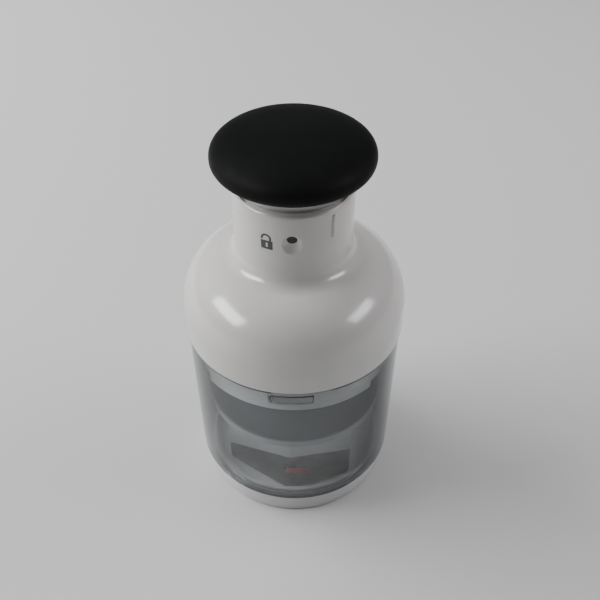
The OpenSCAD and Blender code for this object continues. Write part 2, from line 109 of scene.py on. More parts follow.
def finished(bm, name, crease=38.0):
    """Writes a bmesh to a new object at the origin."""
    bmesh.ops.recalc_face_normals(bm, faces=bm.faces)
    shade_smooth(bm, crease)
    mesh = bpy.data.meshes.new(name)
    bm.to_mesh(mesh)
    bm.free()
    piece = bpy.data.objects.new(name, mesh)
    bpy.context.scene.collection.objects.link(piece)
    return piece


def seat(piece, body, finish, slot_name, *stands_for):
    """Gives a new piece its material and its body, and hides the CAD nodes that it replaces; its slot
    name is not used.
    """
    piece.data.materials.clear()
    piece.data.materials.append(finish)
    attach(piece, body)
    if stands_for:
        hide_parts(*stands_for)


def dress(name, finish):
    """Gives a carried-over node its material."""
    mesh = node[name].data
    mesh.materials.clear()
    mesh.materials.append(finish)


def shader_of(mat):
    return mat.node_tree.nodes["Principled BSDF"]


def finish_of(name, color, roughness):
    """A new material, with the plain numbers set on its shader."""
    mat = bpy.data.materials.new(name)
    mat.use_nodes = True
    shader = shader_of(mat)
    shader.inputs["Base Color"].default_value = (*color, 1)
    shader.inputs["Roughness"].default_value = roughness
    return mat


def group(name, inputs, outputs):
    """An empty shader node group with named sockets, and its end nodes."""
    tree = bpy.data.node_groups.new(name, "ShaderNodeTree")
    kinds = {"f": "NodeSocketFloat", "v": "NodeSocketVector"}
    for label, kind, value in inputs:
        socket = tree.interface.new_socket(label, in_out="INPUT", socket_type=kinds[kind])
        if value is not None:
            socket.default_value = value
    for label, kind in outputs:
        tree.interface.new_socket(label, in_out="OUTPUT", socket_type=kinds[kind])
    return tree, tree.nodes.new("NodeGroupInput"), tree.nodes.new("NodeGroupOutput")


def wire(tree, kind, settings=None, **sockets):
    """Adds a node. Settings are its options, sockets are values or links by name, with _ for a
    space, or by number after an i."""
    made = tree.nodes.new(kind)
    for key, value in (settings or {}).items():
        setattr(made, key, value)
    for key, value in sockets.items():
        numbered = key[0] == "i" and key[1:].isdigit()
        target = made.inputs[int(key[1:]) if numbered else key.replace("_", " ")]
        if isinstance(value, bpy.types.NodeSocket):
            tree.links.new(value, target)
        else:
            target.default_value = value
    return made


def calc(tree, operation, a, b=0.0, c=0.0):
    return wire(tree, "ShaderNodeMath", {"operation": operation}, i0=a, i1=b, i2=c).outputs[0]


def remap(tree, value, low, high, to_low=0.0, to_high=1.0):
    return wire(tree, "ShaderNodeMapRange", Value=value, From_Min=low, From_Max=high,
                To_Min=to_low, To_Max=to_high).outputs[0]


def noise(tree, place, scale, detail, roughness=0.5):
    return wire(tree, "ShaderNodeTexNoise", Vector=place, Scale=scale, Detail=detail,
                Roughness=roughness)


def object_place(mat):
    return mat.node_tree.nodes.new("ShaderNodeTexCoord").outputs["Object"]


def split_place(mat):
    return wire(mat.node_tree, "ShaderNodeSeparateXYZ", Vector=object_place(mat)).outputs


def blended(tree, mask, first, second):
    """The colour between two colours or links, by a mask: the first at 0, the second at 1."""
    mixed = wire(tree, "ShaderNodeMix", {"data_type": "RGBA"}, Factor=mask)
    for label, color in (("A", first), ("B", second)):
        if isinstance(color, bpy.types.NodeSocket):
            tree.links.new(color, mixed.inputs[label])
        else:
            mixed.inputs[label].default_value = (*color, 1)
    return mixed.outputs["Result"]


def overlay(mat, mask, color):
    """Lays a second colour over a material's own where the mask is 1."""
    tree = mat.node_tree
    target = shader_of(mat).inputs["Base Color"]
    tree.links.new(blended(tree, mask, target.links[0].from_socket, color), target)


# Moulded skin: slow mottling of the tone and the fine orange peel that a polished mould leaves
moulded_skin, entry, leave = group(
    "moulded_skin", [("Place", "v", None), ("Peel", "f", 260.0)], [("Tone", "f"), ("Height", "f")])
slow = noise(moulded_skin, entry.outputs["Place"], 38.0, 3.0, 0.55)
peel = noise(moulded_skin, entry.outputs["Place"], entry.outputs["Peel"], 2.0)
moulded_skin.links.new(slow.outputs[0], leave.inputs["Tone"])
moulded_skin.links.new(peel.outputs[0], leave.inputs["Height"])

# Handling marks: hairline scratches, finger smudges and a few specks of dust
handling, entry, leave = group(
    "handling_marks", [("Place", "v", None), ("Scratch Scale", "f", 90.0)],
    [("Scratch", "f"), ("Smudge", "f"), ("Dust", "f")])
place = entry.outputs["Place"]
bend = noise(handling, place, 45.0, 2.0)
swirl = wire(handling, "ShaderNodeVectorMath", {"operation": "MULTIPLY_ADD"},
             i0=bend.outputs["Color"], i1=(0.02, 0.02, 0.02), i2=place)
lines = []
for tilt in ((0.3, 0.5, 0.2), (1.3, -0.4, 0.9)):
    drawn_out = wire(handling, "ShaderNodeMapping", Vector=swirl.outputs[0], Rotation=tilt,
                     Scale=(1.0, 0.05, 1.0))
    streak = noise(handling, drawn_out.outputs[0], entry.outputs["Scratch Scale"], 4.0, 0.75)
    near_line = calc(handling, "ABSOLUTE", calc(handling, "SUBTRACT", streak.outputs[0], 0.5))
    lines.append(remap(handling, near_line, 0.0, 0.006, 1.0, 0.0))
patch = remap(handling, noise(handling, place, 70.0, 2.0).outputs[0], 0.5, 0.68)
scratch = calc(handling, "MULTIPLY", calc(handling, "MAXIMUM", *lines), patch)
smudge = remap(handling, noise(handling, place, 55.0, 5.0, 0.62).outputs[0], 0.48, 0.7)
specks = wire(handling, "ShaderNodeTexVoronoi", {"feature": "F1"}, Vector=place, Scale=300.0,
              Randomness=1.0)
chosen = remap(handling, wire(handling, "ShaderNodeTexWhiteNoise", {"noise_dimensions": "3D"},
                              Vector=specks.outputs["Position"]).outputs[0], 0.9, 0.93)
dust = calc(handling, "MULTIPLY",
            remap(handling, specks.outputs["Distance"], 0.05, 0.09, 1.0, 0.0), chosen)
for label, value in (("Scratch", scratch), ("Smudge", smudge), ("Dust", dust)):
    handling.links.new(value, leave.inputs[label])


def moulded(name, color, roughness, peel_mm=0.004, peel_scale=260.0, tone=0.03,
            smudge=0.08, scratch=0.15, dust=0.0, dust_color=(0.8, 0.8, 0.78)):
    """A moulded plastic or rubber, with the moulded skin and the handling marks in its own amounts."""
    mat = finish_of(name, color, roughness)
    shader = shader_of(mat)
    tree = mat.node_tree
    place = object_place(mat)
    skin = wire(tree, "ShaderNodeGroup", {"node_tree": moulded_skin}, Place=place, Peel=peel_scale)
    marks = wire(tree, "ShaderNodeGroup", {"node_tree": handling}, Place=place)
    shade = blended(tree, remap(tree, skin.outputs["Tone"], 0.3, 0.7),
                    [c * (1 - tone) for c in color], [min(1.0, c * (1 + tone)) for c in color])
    if dust:
        shade = blended(tree, calc(tree, "MULTIPLY", marks.outputs["Dust"], dust), shade, dust_color)
    tree.links.new(shade, shader.inputs["Base Color"])
    greasy = calc(tree, "MULTIPLY_ADD", marks.outputs["Smudge"], smudge, roughness)
    worn = calc(tree, "MULTIPLY_ADD", marks.outputs["Scratch"], scratch, greasy)
    tree.links.new(worn, shader.inputs["Roughness"])
    height = calc(tree, "SUBTRACT", skin.outputs["Height"],
                  calc(tree, "MULTIPLY", marks.outputs["Scratch"], 0.6))
    bump = wire(tree, "ShaderNodeBump", Height=height, Strength=1.0, Distance=peel_mm * MM)
    tree.links.new(bump.outputs[0], shader.inputs["Normal"])
    return mat


base_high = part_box("base")[1]
cup_low, cup_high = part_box("cup")
foot_r = base_high.x / MM
foot_wall = 3.0
underside_z = 5.0
floor_z = 8.0
cup_gap = 0.3
shoulder_z = cup_low.z / MM - cup_gap
plug_step = 2.0
plug_r = foot_r - plug_step
plug_wall = 2
plug_top = base_high.z / MM
groove_depth = 0.9
groove_low, groove_high = shoulder_z + 0.6, shoulder_z + 1.9

pale_plastic = moulded("pale_satin_plastic", (0.62, 0.62, 0.63), 0.34, peel_mm=0.006, tone=0.02,
                       scratch=0.25)
shader = shader_of(pale_plastic)
shader.inputs["Subsurface Weight"].default_value = 0.25
shader.inputs["Subsurface Radius"].default_value = (0.004, 0.004, 0.004)
shader.inputs["Subsurface Scale"].default_value = 0.6
# The plug's lip inside the cup is a duller grey than the rest of the base: painted shade
painted_lip_shade = remap(pale_plastic.node_tree, split_place(pale_plastic)["Z"],
            (shoulder_z + 0.4) * MM, groove_low * MM)
overlay(pale_plastic, painted_lip_shade, (0.36, 0.365, 0.37))

bm = turned(fillet([
    (0, underside_z, 0), (foot_r - foot_wall - 0.2, underside_z, 0.6), (foot_r - foot_wall, 0, 0.4),
    (foot_r, 0, 1.4), (foot_r, shoulder_z, 0.5), (plug_r, shoulder_z, 0.2),
    (plug_r, groove_low, 0), (plug_r - groove_depth, groove_low, 0),
    (plug_r - groove_depth, groove_high, 0), (plug_r, groove_high, 0),
    (plug_r, plug_top, 0.4), (plug_r - plug_wall, plug_top, 0.5), (plug_r - plug_wall, floor_z, 1.2),
    (0, floor_z, 0)]))
seat(finished(bm, "base_cap"), "base", pale_plastic, "pale_base", "base")

grey_rubber = moulded("grey_soft_rubber", (0.16, 0.165, 0.17), 0.72, peel_mm=0.02,
                      peel_scale=1400.0, dust=0.4)
dress("base_gasket", grey_rubber)

# ---- Cup ----
# Clear chopping cup in hard, faintly blue-grey plastic, with a slight draft and a thick lip that
# stands on the base. Three bayonet lugs are moulded inside its rim.

cup_r = cup_high.x / MM
cup_wall = 2.4
cup_draft = 0.7
rim_z = cup_high.z / MM
heel_z = cup_low.z / MM
heel_r = cup_r - cup_draft
lip_r = foot_r - 1.7
lip_h = 2.4

housing_low, housing_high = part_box("upper_housing")
seam_z = housing_low.z / MM
body_r = housing_high.x / MM
spigot_step = 3.3
spigot_r = body_r - spigot_step
track_drop = 9.1
track_z = seam_z - track_drop
track_h = 5.1
track_depth = 1.7
lug_gap = 0.4
lug_arc = math.radians(22)
lug_middle = math.radians(-91)
THIRD = math.tau / 3


def join(bm, other):
    """Adds one bmesh's geometry to another."""
    spare = bpy.data.meshes.new("spare")
    other.to_mesh(spare)
    other.free()
    bm.from_mesh(spare)
    bpy.data.meshes.remove(spare)


def carve(piece, tool, operation="DIFFERENCE"):
    """Cuts or joins a tool's shape with a piece, and removes the tool."""
    change = piece.modifiers.new("carve", "BOOLEAN")
    change.operation = operation
    change.solver = "MANIFOLD"
    change.object = tool
    bpy.context.view_layer.update()
    shaped = bpy.data.meshes.new_from_object(
        piece.evaluated_get(bpy.context.evaluated_depsgraph_get()))
    piece.modifiers.clear()
    old = piece.data
    name = old.name
    piece.data = shaped
    bpy.data.meshes.remove(old)
    shaped.name = name
    bpy.data.objects.remove(tool)


def bevelled(bm, edges, width_mm, segments):
    bmesh.ops.bevel(bm, geom=edges, offset=width_mm * MM, offset_type="OFFSET", affect="EDGES",
                    segments=segments, profile=0.5, material=-1, clamp_overlap=True)


def soften(piece, width_mm, angle):
    """Rounds a piece's edges that are sharper than an angle by a small bevel."""
    bm = bmesh.new()
    bm.from_mesh(piece.data)
    bmesh.ops.dissolve_degenerate(bm, dist=1e-6, edges=bm.edges)
    hard = [e for e in bm.edges
            if len(e.link_faces) == 2 and e.calc_face_angle(0) > math.radians(angle)]
    bevelled(bm, hard, width_mm, 2)
    shade_smooth(bm, 38.0)
    bm.to_mesh(piece.data)
    bm.free()


def ring_block(inner, outer, low, high, arc, middle, steps, rounding_mm=0.0):
    """A block bent round the axis, centred on one polar angle, with or without rounded ends."""
    block = turned([(inner, low), (outer, low), (outer, high), (inner, high)],
                   steps=steps, arc=arc, start=middle - arc / 2)
    if rounding_mm:
        ends = [e for e in block.edges if len(e.link_faces) == 2 and e.calc_face_angle(0) > 1
                and abs(e.verts[0].co.z - e.verts[1].co.z) < 1e-6
                and abs(e.verts[0].co.xy.length - e.verts[1].co.xy.length) > MM]
        bevelled(block, ends, rounding_mm, 5)
    return block


cup_tint = (0.74, 0.757, 0.765)
edge_tint = (0.06, 0.067, 0.072)
painted_shade_tint = (0.1, 0.1, 0.115)
clear_plastic = finish_of("clear_cup_plastic", cup_tint, 0.03)
shader = shader_of(clear_plastic)
shader.inputs["Transmission Weight"].default_value = 1.0
shader.inputs["IOR"].default_value = 1.49
tree = clear_plastic.node_tree
place = object_place(clear_plastic)
marks = wire(tree, "ShaderNodeGroup", {"node_tree": handling}, Place=place, Scratch_Scale=130.0)
haze = calc(tree, "MULTIPLY_ADD", marks.outputs["Smudge"], 0.02, 0.03)
worn = calc(tree, "MULTIPLY_ADD", marks.outputs["Scratch"], 0.04, haze)
tree.links.new(worn, shader.inputs["Roughness"])
skin = wire(tree, "ShaderNodeGroup", {"node_tree": moulded_skin}, Place=place, Peel=60.0)
bump = wire(tree, "ShaderNodeBump", Height=skin.outputs["Height"], Strength=1.0, Distance=0.02 * MM)
tree.links.new(bump.outputs[0], shader.inputs["Normal"])
# Painted shade: the wall's rim and the thick lip at its foot are tinted dark, apart from the front
# lug's rim
spot = wire(tree, "ShaderNodeSeparateXYZ", Vector=place).outputs
from_front = calc(tree, "ARCTAN2", spot["X"], calc(tree, "MULTIPLY", spot["Y"], -1.0))
off_lug = calc(tree, "ABSOLUTE", calc(tree, "SUBTRACT", from_front, 0.072))
painted_rim_shadow = calc(tree, "MULTIPLY", remap(tree, spot["Z"], (rim_z - 1.2) * MM, (rim_z - 0.9) * MM),
                remap(tree, off_lug, 0.245, 0.27))
painted_foot_shade = remap(tree, spot["Z"], (heel_z + 1.9) * MM, (heel_z + 2.7) * MM, 0.75, 0.0)
# Seen edge on, the tinted wall is thicker to look through and so darker
edge_on = tree.nodes.new("ShaderNodeLayerWeight").outputs["Facing"]
wall_shade = blended(tree, remap(tree, edge_on, 0.4, 0.66), cup_tint, edge_tint)
tree.links.new(blended(tree, calc(tree, "MAXIMUM", painted_rim_shadow, painted_foot_shade), wall_shade, painted_shade_tint),
               shader.inputs["Base Color"])
# Light that runs far inside the wall is lost, so the cup's sides look darker than its front
loss = wire(tree, "ShaderNodeVolumeAbsorption", Color=(0.46, 0.49, 0.5, 1), Density=95.0)
tree.links.new(loss.outputs[0], tree.nodes["Material Output"].inputs["Volume"])
# The wall lets most of the light through to what stands inside
shadow_ray = tree.nodes.new("ShaderNodeLightPath").outputs["Is Shadow Ray"]
tree.links.new(calc(tree, "MULTIPLY_ADD", shadow_ray, -0.94, 1.0), shader.inputs["Alpha"])


def cup_inside(z):
    """Radius of the cup's inner face at a height, with the draft of the wall."""
    return heel_r - cup_wall + cup_draft * (z - heel_z) / (rim_z - heel_z)


# Rows of points down the inner wall keep its shading even beside the lugs
rows = [track_z + track_h + 0.8, track_z - 0.8] + [track_z - 8 * k for k in range(1, 8)]
bm = turned(fillet([
    (lip_r, heel_z, 0.3), (heel_r, heel_z, 0.8), (cup_r, rim_z, 0.5), (cup_r - cup_wall, rim_z, 0.4)]
    + [(cup_inside(z), z, 0) for z in rows]
    + [(heel_r - cup_wall, heel_z + lip_h, 0.6), (lip_r, heel_z + lip_h, 0.3)]), steps=240)
cup = finished(bm, "clear_cup")
lugs = bmesh.new()
for k in range(3):
    join(lugs, ring_block(spigot_r - track_depth + lug_gap, cup_r - cup_wall + 0.8,
                          track_z + lug_gap, track_z + track_h - lug_gap,
                          lug_arc, lug_middle + k * THIRD, 16, rounding_mm=1.7))
carve(cup, finished(lugs, "cup_lugs"), "UNION")
seat(cup, "cup", clear_plastic, "clear_cup", "cup")

# ---- Blades ----
# Two zigzag strips of stainless steel, folded from brushed sheet and ground to an edge below. The
# second is the first turned half round the axis.

# Brushed grain: fine lines that run along the sheet, level with the table
brushed, entry, leave = group("brushed_grain", [("Place", "v", None), ("Fineness", "f", 900.0)],
                              [("Line", "f"), ("Cloud", "f")])
long_way = wire(brushed, "ShaderNodeMapping", Vector=entry.outputs["Place"],
                Scale=(0.03, 0.03, 1.0))
grain = noise(brushed, long_way.outputs[0], entry.outputs["Fineness"], 3.0, 0.7)
cloud = noise(brushed, entry.outputs["Place"], 60.0, 2.0)
brushed.links.new(grain.outputs[0], leave.inputs["Line"])
brushed.links.new(cloud.outputs[0], leave.inputs["Cloud"])


def brushed_metal(name, color, roughness, fineness=900.0):
    """A metal with brushed lines in its colour, gloss and relief."""
    mat = finish_of(name, color, roughness)
    shader = shader_of(mat)
    shader.inputs["Metallic"].default_value = 1.0
    tree = mat.node_tree
    place = object_place(mat)
    lines = wire(tree, "ShaderNodeGroup", {"node_tree": brushed}, Place=place, Fineness=fineness)
    marks = wire(tree, "ShaderNodeGroup", {"node_tree": handling}, Place=place)
    shade = blended(tree, remap(tree, lines.outputs["Line"], 0.25, 0.75),
                    [c * 0.86 for c in color], [min(1, c * 1.08) for c in color])
    tree.links.new(shade, shader.inputs["Base Color"])
    cloudy = calc(tree, "MULTIPLY_ADD", lines.outputs["Cloud"], 0.12, roughness - 0.06)
    worn = calc(tree, "MULTIPLY_ADD", marks.outputs["Scratch"], 0.15, cloudy)
    tree.links.new(worn, shader.inputs["Roughness"])
    bump = wire(tree, "ShaderNodeBump", Height=lines.outputs["Line"], Strength=1.0,
                Distance=0.002 * MM)
    tree.links.new(bump.outputs[0], shader.inputs["Normal"])
    return mat


steel = brushed_metal("brushed_blade_steel", (0.72, 0.725, 0.73), 0.24)
shader = shader_of(steel)
shader.inputs["Anisotropic"].default_value = 0.4
# The strip is matt where it was brushed, and smooth as a mirror towards its ground edge, where it is
# painted dark: a painted reflection of the shaded base. The line between them falls to both sides of
# the fold, less steeply to the right.
reflection_line_top, reflection_line_fall, reflection_line_lean = 0.036, 0.37, 0.11
tree = steel.node_tree
spot = split_place(steel)
aside = calc(tree, "ADD", spot["X"], 0.002)
reflection_line_z = calc(tree, "MULTIPLY_ADD", calc(tree, "ABSOLUTE", aside), reflection_line_fall, -reflection_line_top)
reflection_line_z = calc(tree, "SUBTRACT", reflection_line_z, calc(tree, "MULTIPLY", aside, reflection_line_lean))
brushed_above_painted_reflection = remap(tree, calc(tree, "ADD", spot["Z"], reflection_line_z), -0.0006, 0.0006)
brushed_color = shader.inputs["Base Color"].links[0].from_socket
tree.links.new(blended(tree, brushed_above_painted_reflection, (0.19, 0.187, 0.184), brushed_color), shader.inputs["Base Color"])
brushed_gloss = shader.inputs["Roughness"].links[0].from_socket
tree.links.new(calc(tree, "MULTIPLY_ADD", brushed_above_painted_reflection, 0.2, brushed_gloss), shader.inputs["Roughness"])

blade_low, blade_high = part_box("blade_front")
edge_z = blade_low.z / MM
edge_h = 2.4
edge_land = 0.08
blade_t = 0.6
fold_r = 1.2
blade_gap = 1.95
blade_reach = plug_r - plug_wall - blade_gap
# Corners of the strip as radius and polar angle: from the hub out to the cup's wall, round by the
# front fold and back to the hub
fold_corners = ((11.7, 200), (blade_reach - 1.35, 209.4), (blade_reach, 267), (blade_reach, 313.3),
                (12.4, 346))


def folded_blade(name, turn):
    """A strip's section, ground to an edge below, extruded from point to point of its folded way."""
    half, land = blade_t / 2, edge_land / 2
    ground_z = edge_z + edge_h
    section = [(-half, blade_high.z / MM), (-half, ground_z + 0.4), (-half, ground_z),
               (-land, edge_z), (land, edge_z), (half, ground_z), (half, ground_z + 0.4),
               (half, blade_high.z / MM)]
    way = fillet([(r * math.cos(math.radians(a)), r * math.sin(math.radians(a)), fold_r)
                  for r, a in fold_corners], closed=False)
    stands = []
    for i, point in enumerate(way):
        run_in = (point - way[i - 1]).normalized() if i else (way[1] - way[0]).normalized()
        run_out = (way[i + 1] - point).normalized() if i < len(way) - 1 else run_in
        run = (run_in + run_out).normalized()
        out = Vector((-run.y, run.x)) / max(0.5, run.dot(run_in))
        stands.append(Matrix.Rotation(turn, 4, "Z") @ Matrix((
            (out.x, run.x, 0, point.x * MM), (out.y, run.y, 0, point.y * MM),
            (0, 0, 1, 0), (0, 0, 0, 1))))
    bm = bmesh.new()
    corners = [bm.verts.new(stands[0] @ Vector((side * MM, 0, z * MM))) for side, z in section]
    rim = [bm.edges.new(pair) for pair in zip(corners, corners[1:] + corners[:1])]
    bmesh.ops.contextual_create(bm, geom=rim)
    for here, there in zip(stands, stands[1:]):
        grown = bmesh.ops.extrude_edge_only(bm, edges=rim)["geom"]
        corners = [g for g in grown if isinstance(g, bmesh.types.BMVert)]
        rim = [g for g in grown if isinstance(g, bmesh.types.BMEdge)]
        bmesh.ops.transform(bm, matrix=there @ here.inverted(), verts=corners)
    bmesh.ops.contextual_create(bm, geom=rim)
    return finished(bm, name, 12)


seat(folded_blade("front_blade", 0.0), "blades", steel, "blade_steel", "blade_front")
seat(folded_blade("rear_blade", math.pi), "blades", steel, "blade_steel", "blade_rear")

# ---- Blade carrier ----
# Dark plastic disc that holds the blades' top edges in slots, screwed to the spiral rod. A small
# red clip grips the front fold. The screw, the rod and its ring are plated steel.

carrier_low, carrier_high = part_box("blade_carrier")
# The disc's dark colour partly stands in for the shade it lies in under the housing
dark_plastic = moulded("smoke_grey_plastic", (0.06, 0.066, 0.072), 0.3, peel_mm=0.006)
# The lower part of the disc's side is painted paler than its dark top: a painted lit band of side light
tree = dark_plastic.node_tree
place = object_place(dark_plastic)
side_z = wire(tree, "ShaderNodeSeparateXYZ", Vector=place).outputs["Z"]
flat = wire(tree, "ShaderNodeVectorMath", {"operation": "MULTIPLY"}, i0=place, i1=(1, 1, 0))
out_r = wire(tree, "ShaderNodeVectorMath", {"operation": "LENGTH"}, i0=flat.outputs[0])
lit_band_side = remap(tree, out_r.outputs["Value"], carrier_high.x - 0.5 * MM, carrier_high.x - 0.3 * MM)
lit_band_low = remap(tree, side_z, carrier_low.z + 4.6 * MM, carrier_low.z + 3.0 * MM)
overlay(dark_plastic, calc(tree, "MULTIPLY", lit_band_side, lit_band_low), (0.42, 0.43, 0.44))
dress("blade_carrier", dark_plastic)
dress("carrier_bumper", grey_rubber)

clip_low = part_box("blade_catch")[0]
red_plastic = moulded("red_clip_plastic", (0.32, 0.02, 0.045), 0.32, tone=0.06)
# Only the lens-shaped face of the clip is red: its back, against the steel, is painted dark as shade
painted_shade_behind = remap(red_plastic.node_tree, split_place(red_plastic)["Y"],
               clip_low.y + 0.7 * MM, clip_low.y + 0.78 * MM)
overlay(red_plastic, painted_shade_behind, (0.02, 0.02, 0.022))
dress("blade_catch", red_plastic)

plated = brushed_metal("plated_steel", (0.52, 0.53, 0.54), 0.3, fineness=500.0)
for name in ("carrier_screw", "spiral_rod", "rod_clip"):
    dress(name, plated)

# ---- Housing floor and drive ----
# The bulkhead holds the drive nut and is screwed up into the housing. The spring stands on it round
# the rod, and the small guides are of the same satin white plastic.

inner_white = moulded("satin_white_plastic", (0.82, 0.82, 0.81), 0.4, peel_mm=0.008, tone=0.02)
for name in ("bulkhead", "drive_nut", "neck_bush", "spring_cap", "rod_bearing", "plunger_cap"):
    dress(name, inner_white)
for name in ("bulkhead_screws", "return_spring", "knob_screw"):
    dress(name, plated)
dress("stop_bumper", grey_rubber)

# ---- Bayonet collar ----
# Plain white spigot under the seam, moulded and pushed into the housing. Three bayonet tracks run
# in its outside: a level stretch for each lug and an entry from below at its end.

collar_low, collar_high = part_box("lower_collar")
spigot_wall = 3.1
spigot_in = spigot_r - spigot_wall
spigot_low = collar_low.z / MM
collar_top = collar_high.z / MM
collar_r = collar_high.x / MM
ledge_r = 31
ledge_z = seam_z + 6.6
ledge_h = 2.5
cup_turn = math.radians(58)
lug_play = math.radians(1.5)
entry_arc = lug_arc + 2 * lug_play

bm = turned(fillet([
    (spigot_in, spigot_low, 0.5), (spigot_r, spigot_low, 0.6), (spigot_r, seam_z + 0.15, 0),
    (collar_r, seam_z + 0.15, 0.2), (collar_r, collar_top, 0.3), (spigot_in, collar_top, 0.3),
    (spigot_in, ledge_z + ledge_h, 0), (ledge_r, ledge_z + ledge_h, 0.3), (ledge_r, ledge_z, 0.3),
    (spigot_in, ledge_z, 0)]))
collar = finished(bm, "bayonet_collar")
track_left = lug_middle - lug_arc / 2 - lug_play
track_right = lug_middle + cup_turn + lug_arc / 2 + lug_play
for k in range(3):
    run = ring_block(spigot_r - track_depth, spigot_r + 1, track_z, track_z + track_h,
                     track_right - track_left, (track_left + track_right) / 2 + k * THIRD, 60,
                     rounding_mm=1.9)
    carve(collar, finished(run, "track_tool"))
    way_in = ring_block(spigot_r - track_depth - 0.1, spigot_r + 1, spigot_low - 1, track_z + 1,
                        entry_arc - 0.007, track_right - entry_arc / 2 + k * THIRD, 20)
    carve(collar, finished(way_in, "entry_tool"))
soften(collar, 0.2, 50)
seat(collar, "housing", inner_white, "white_inner", "lower_collar")

# ---- Upper housing ----
# Bottle-shaped shell in glossy white plastic: straight skirt, round shoulder, short neck with a
# rolled rim. The neck has the stop pin's dished hole and a raised index line.

gloss_white = moulded("gloss_white_plastic", (0.63, 0.622, 0.607), 0.18, peel_scale=190.0,
                      tone=0.012, smudge=0.03, scratch=0.06)
shader = shader_of(gloss_white)
shader.inputs["Coat Weight"].default_value = 0.3
shader.inputs["Coat Roughness"].default_value = 0.12
shader.inputs["Subsurface Weight"].default_value = 0.12
shader.inputs["Subsurface Radius"].default_value = (0.003, 0.0028, 0.0026)
shader.inputs["Subsurface Scale"].default_value = 0.5

shell_wall = 2.6
skirt_top = seam_z + 12
shoulder_r = 25
hollow_r = 7
neck_r = 24.2
neck_wall = 2.45
neck_top = housing_high.z / MM
bore_r = neck_r - neck_wall
bore_lip, bore_lip_h = 0.25, 2.4
guide_z = 118
bush_wall, bush_h = 1.35, 10
stop_pin_low, stop_pin_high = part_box("stop_pin")
pin_z = (stop_pin_low.z + stop_pin_high.z) / 2 / MM
pin_angle = math.radians(-91)
pin_hole_r = 2.05
dish_ball_r = 8.5
dish_depth = 1.2
dish_z = pin_z - 2.1
lock_turn = math.radians(30)
lock_first = math.radians(-30)
groove_z = neck_top - 8
groove_h, groove_cut = 4.5, 1.45
notch_arc = math.radians(19)
index_r, index_h, index_sunk = 1.0, 10.4, 0.3
index_z = pin_z + 3.2
index_angle = math.radians(-51)


def housing_curve(inset):
    """The housing's outline drawn inwards by inset: skirt, round shoulder, hollow curve."""
    shoulder_x = body_r - shoulder_r
    hollow_x = neck_r + hollow_r
    hollow_z = skirt_top + math.sqrt((shoulder_r + hollow_r) ** 2 - (hollow_x - shoulder_x) ** 2)
    lean = math.atan2(hollow_z - skirt_top, hollow_x - shoulder_x)
    points = []
    for k in range(33):
        a = lean * k / 32
        points.append((shoulder_x + (shoulder_r - inset) * math.cos(a),
                       skirt_top + (shoulder_r - inset) * math.sin(a)))
    for k in range(1, 13):
        a = lean + math.pi - lean * k / 12
        points.append((hollow_x + (hollow_r + inset) * math.cos(a),
                       hollow_z + (hollow_r + inset) * math.sin(a)))
    return points


outside = [(body_r, z, 0) for z in (seam_z + 4, seam_z + 8)]
outside += [(x, z, 0) for x, z in housing_curve(0)]
first_row, last_row, row = outside[-1][1] + 0.8, neck_top - 3, 0.8
outside += [(neck_r, first_row + i * row, 0) for i in range(int((last_row - first_row) / row) + 1)]
inside = [p for p in housing_curve(shell_wall) if p[0] > neck_r + 0.5]
bm = turned(fillet(
    [(body_r - shell_wall, seam_z, 0.3), (body_r, seam_z, 0.45)] + outside
    + [(neck_r, neck_top, 1.6), (bore_r - bore_lip, neck_top, 0.35),
       (bore_r - bore_lip, neck_top - bore_lip_h, 0.1), (bore_r, neck_top - bore_lip_h - 0.4, 0),
       (bore_r, guide_z + bush_h, 0), (bore_r + bush_wall, guide_z + bush_h, 0),
       (bore_r + bush_wall, guide_z, 0), (neck_r, guide_z, 0), (neck_r, inside[-1][1] - 0.5, 0)]
    + [(x, z, 0) for x, z in reversed(inside)]), steps=256)
housing = finished(bm, "white_housing")

turn_to_front = Matrix.Rotation(pin_angle, 4, "Z")
hole = bmesh.new()
bmesh.ops.create_cone(hole, cap_ends=True, segments=48, radius1=pin_hole_r * MM,
                      radius2=pin_hole_r * MM, depth=8 * MM,
                      matrix=turn_to_front @ Matrix.Translation((neck_r * MM, 0, pin_z * MM))
                      @ Matrix.Rotation(math.pi / 2, 4, "Y"))
carve(housing, finished(hole, "pin_hole_tool"))
ball = bmesh.new()
bmesh.ops.create_uvsphere(ball, u_segments=96, v_segments=64, radius=dish_ball_r * MM,
                          matrix=turn_to_front @ Matrix.Translation(
                              ((neck_r - dish_depth + dish_ball_r) * MM, 0, dish_z * MM)))
carve(housing, finished(ball, "dish_tool"))
# Each lock lug of the knob comes down a notch and then turns in a groove
for k in range(3):
    lock_place = lock_first + k * THIRD
    for low, high, arc, middle in (
            (groove_z + 1, neck_top + 1, notch_arc, lock_place),
            (groove_z, groove_z + groove_h, notch_arc + lock_turn, lock_place + lock_turn / 2)):
        notch = ring_block(bore_r - 1, bore_r + groove_cut, low, high, arc, middle, 16)
        carve(housing, finished(notch, "notch_tool"))

index_line = bmesh.new()
bmesh.ops.create_cone(index_line, cap_ends=True, segments=32, radius1=index_r * MM,
                      radius2=index_r * MM, depth=index_h * MM,
                      matrix=Matrix.Rotation(index_angle, 4, "Z") @ Matrix.Translation(
                          ((neck_r - index_sunk) * MM, 0, index_z * MM)))
caps = [e for e in index_line.edges if e.calc_face_angle(0) > 1]
bevelled(index_line, caps, 0.6, 4)
carve(housing, finished(index_line, "index_line"), "UNION")
soften(housing, 0.15, 55)
seat(housing, "housing", gloss_white, "white_shell", "upper_housing")

# ---- Stop pin and padlock mark ----
# A black plastic pin pressed into the neck's hole runs in the sleeve's slot. Beside it a padlock
# with its shackle open is printed on the neck in a thin layer of dark ink.

black_pin = moulded("black_pin_plastic", (0.012, 0.012, 0.012), 0.4)
ink = moulded("dark_pad_print", (0.055, 0.06, 0.058), 0.45, peel_scale=900.0)

lock_angle = math.radians(-90 - 24.4)
lock_w, lock_h = 4.9, 4.0
lock_low = pin_z - 5.3
ink_t = 0.03
shackle_r, shackle_t = 1.75, 0.9
long_leg, short_leg = 1.0, 0.7

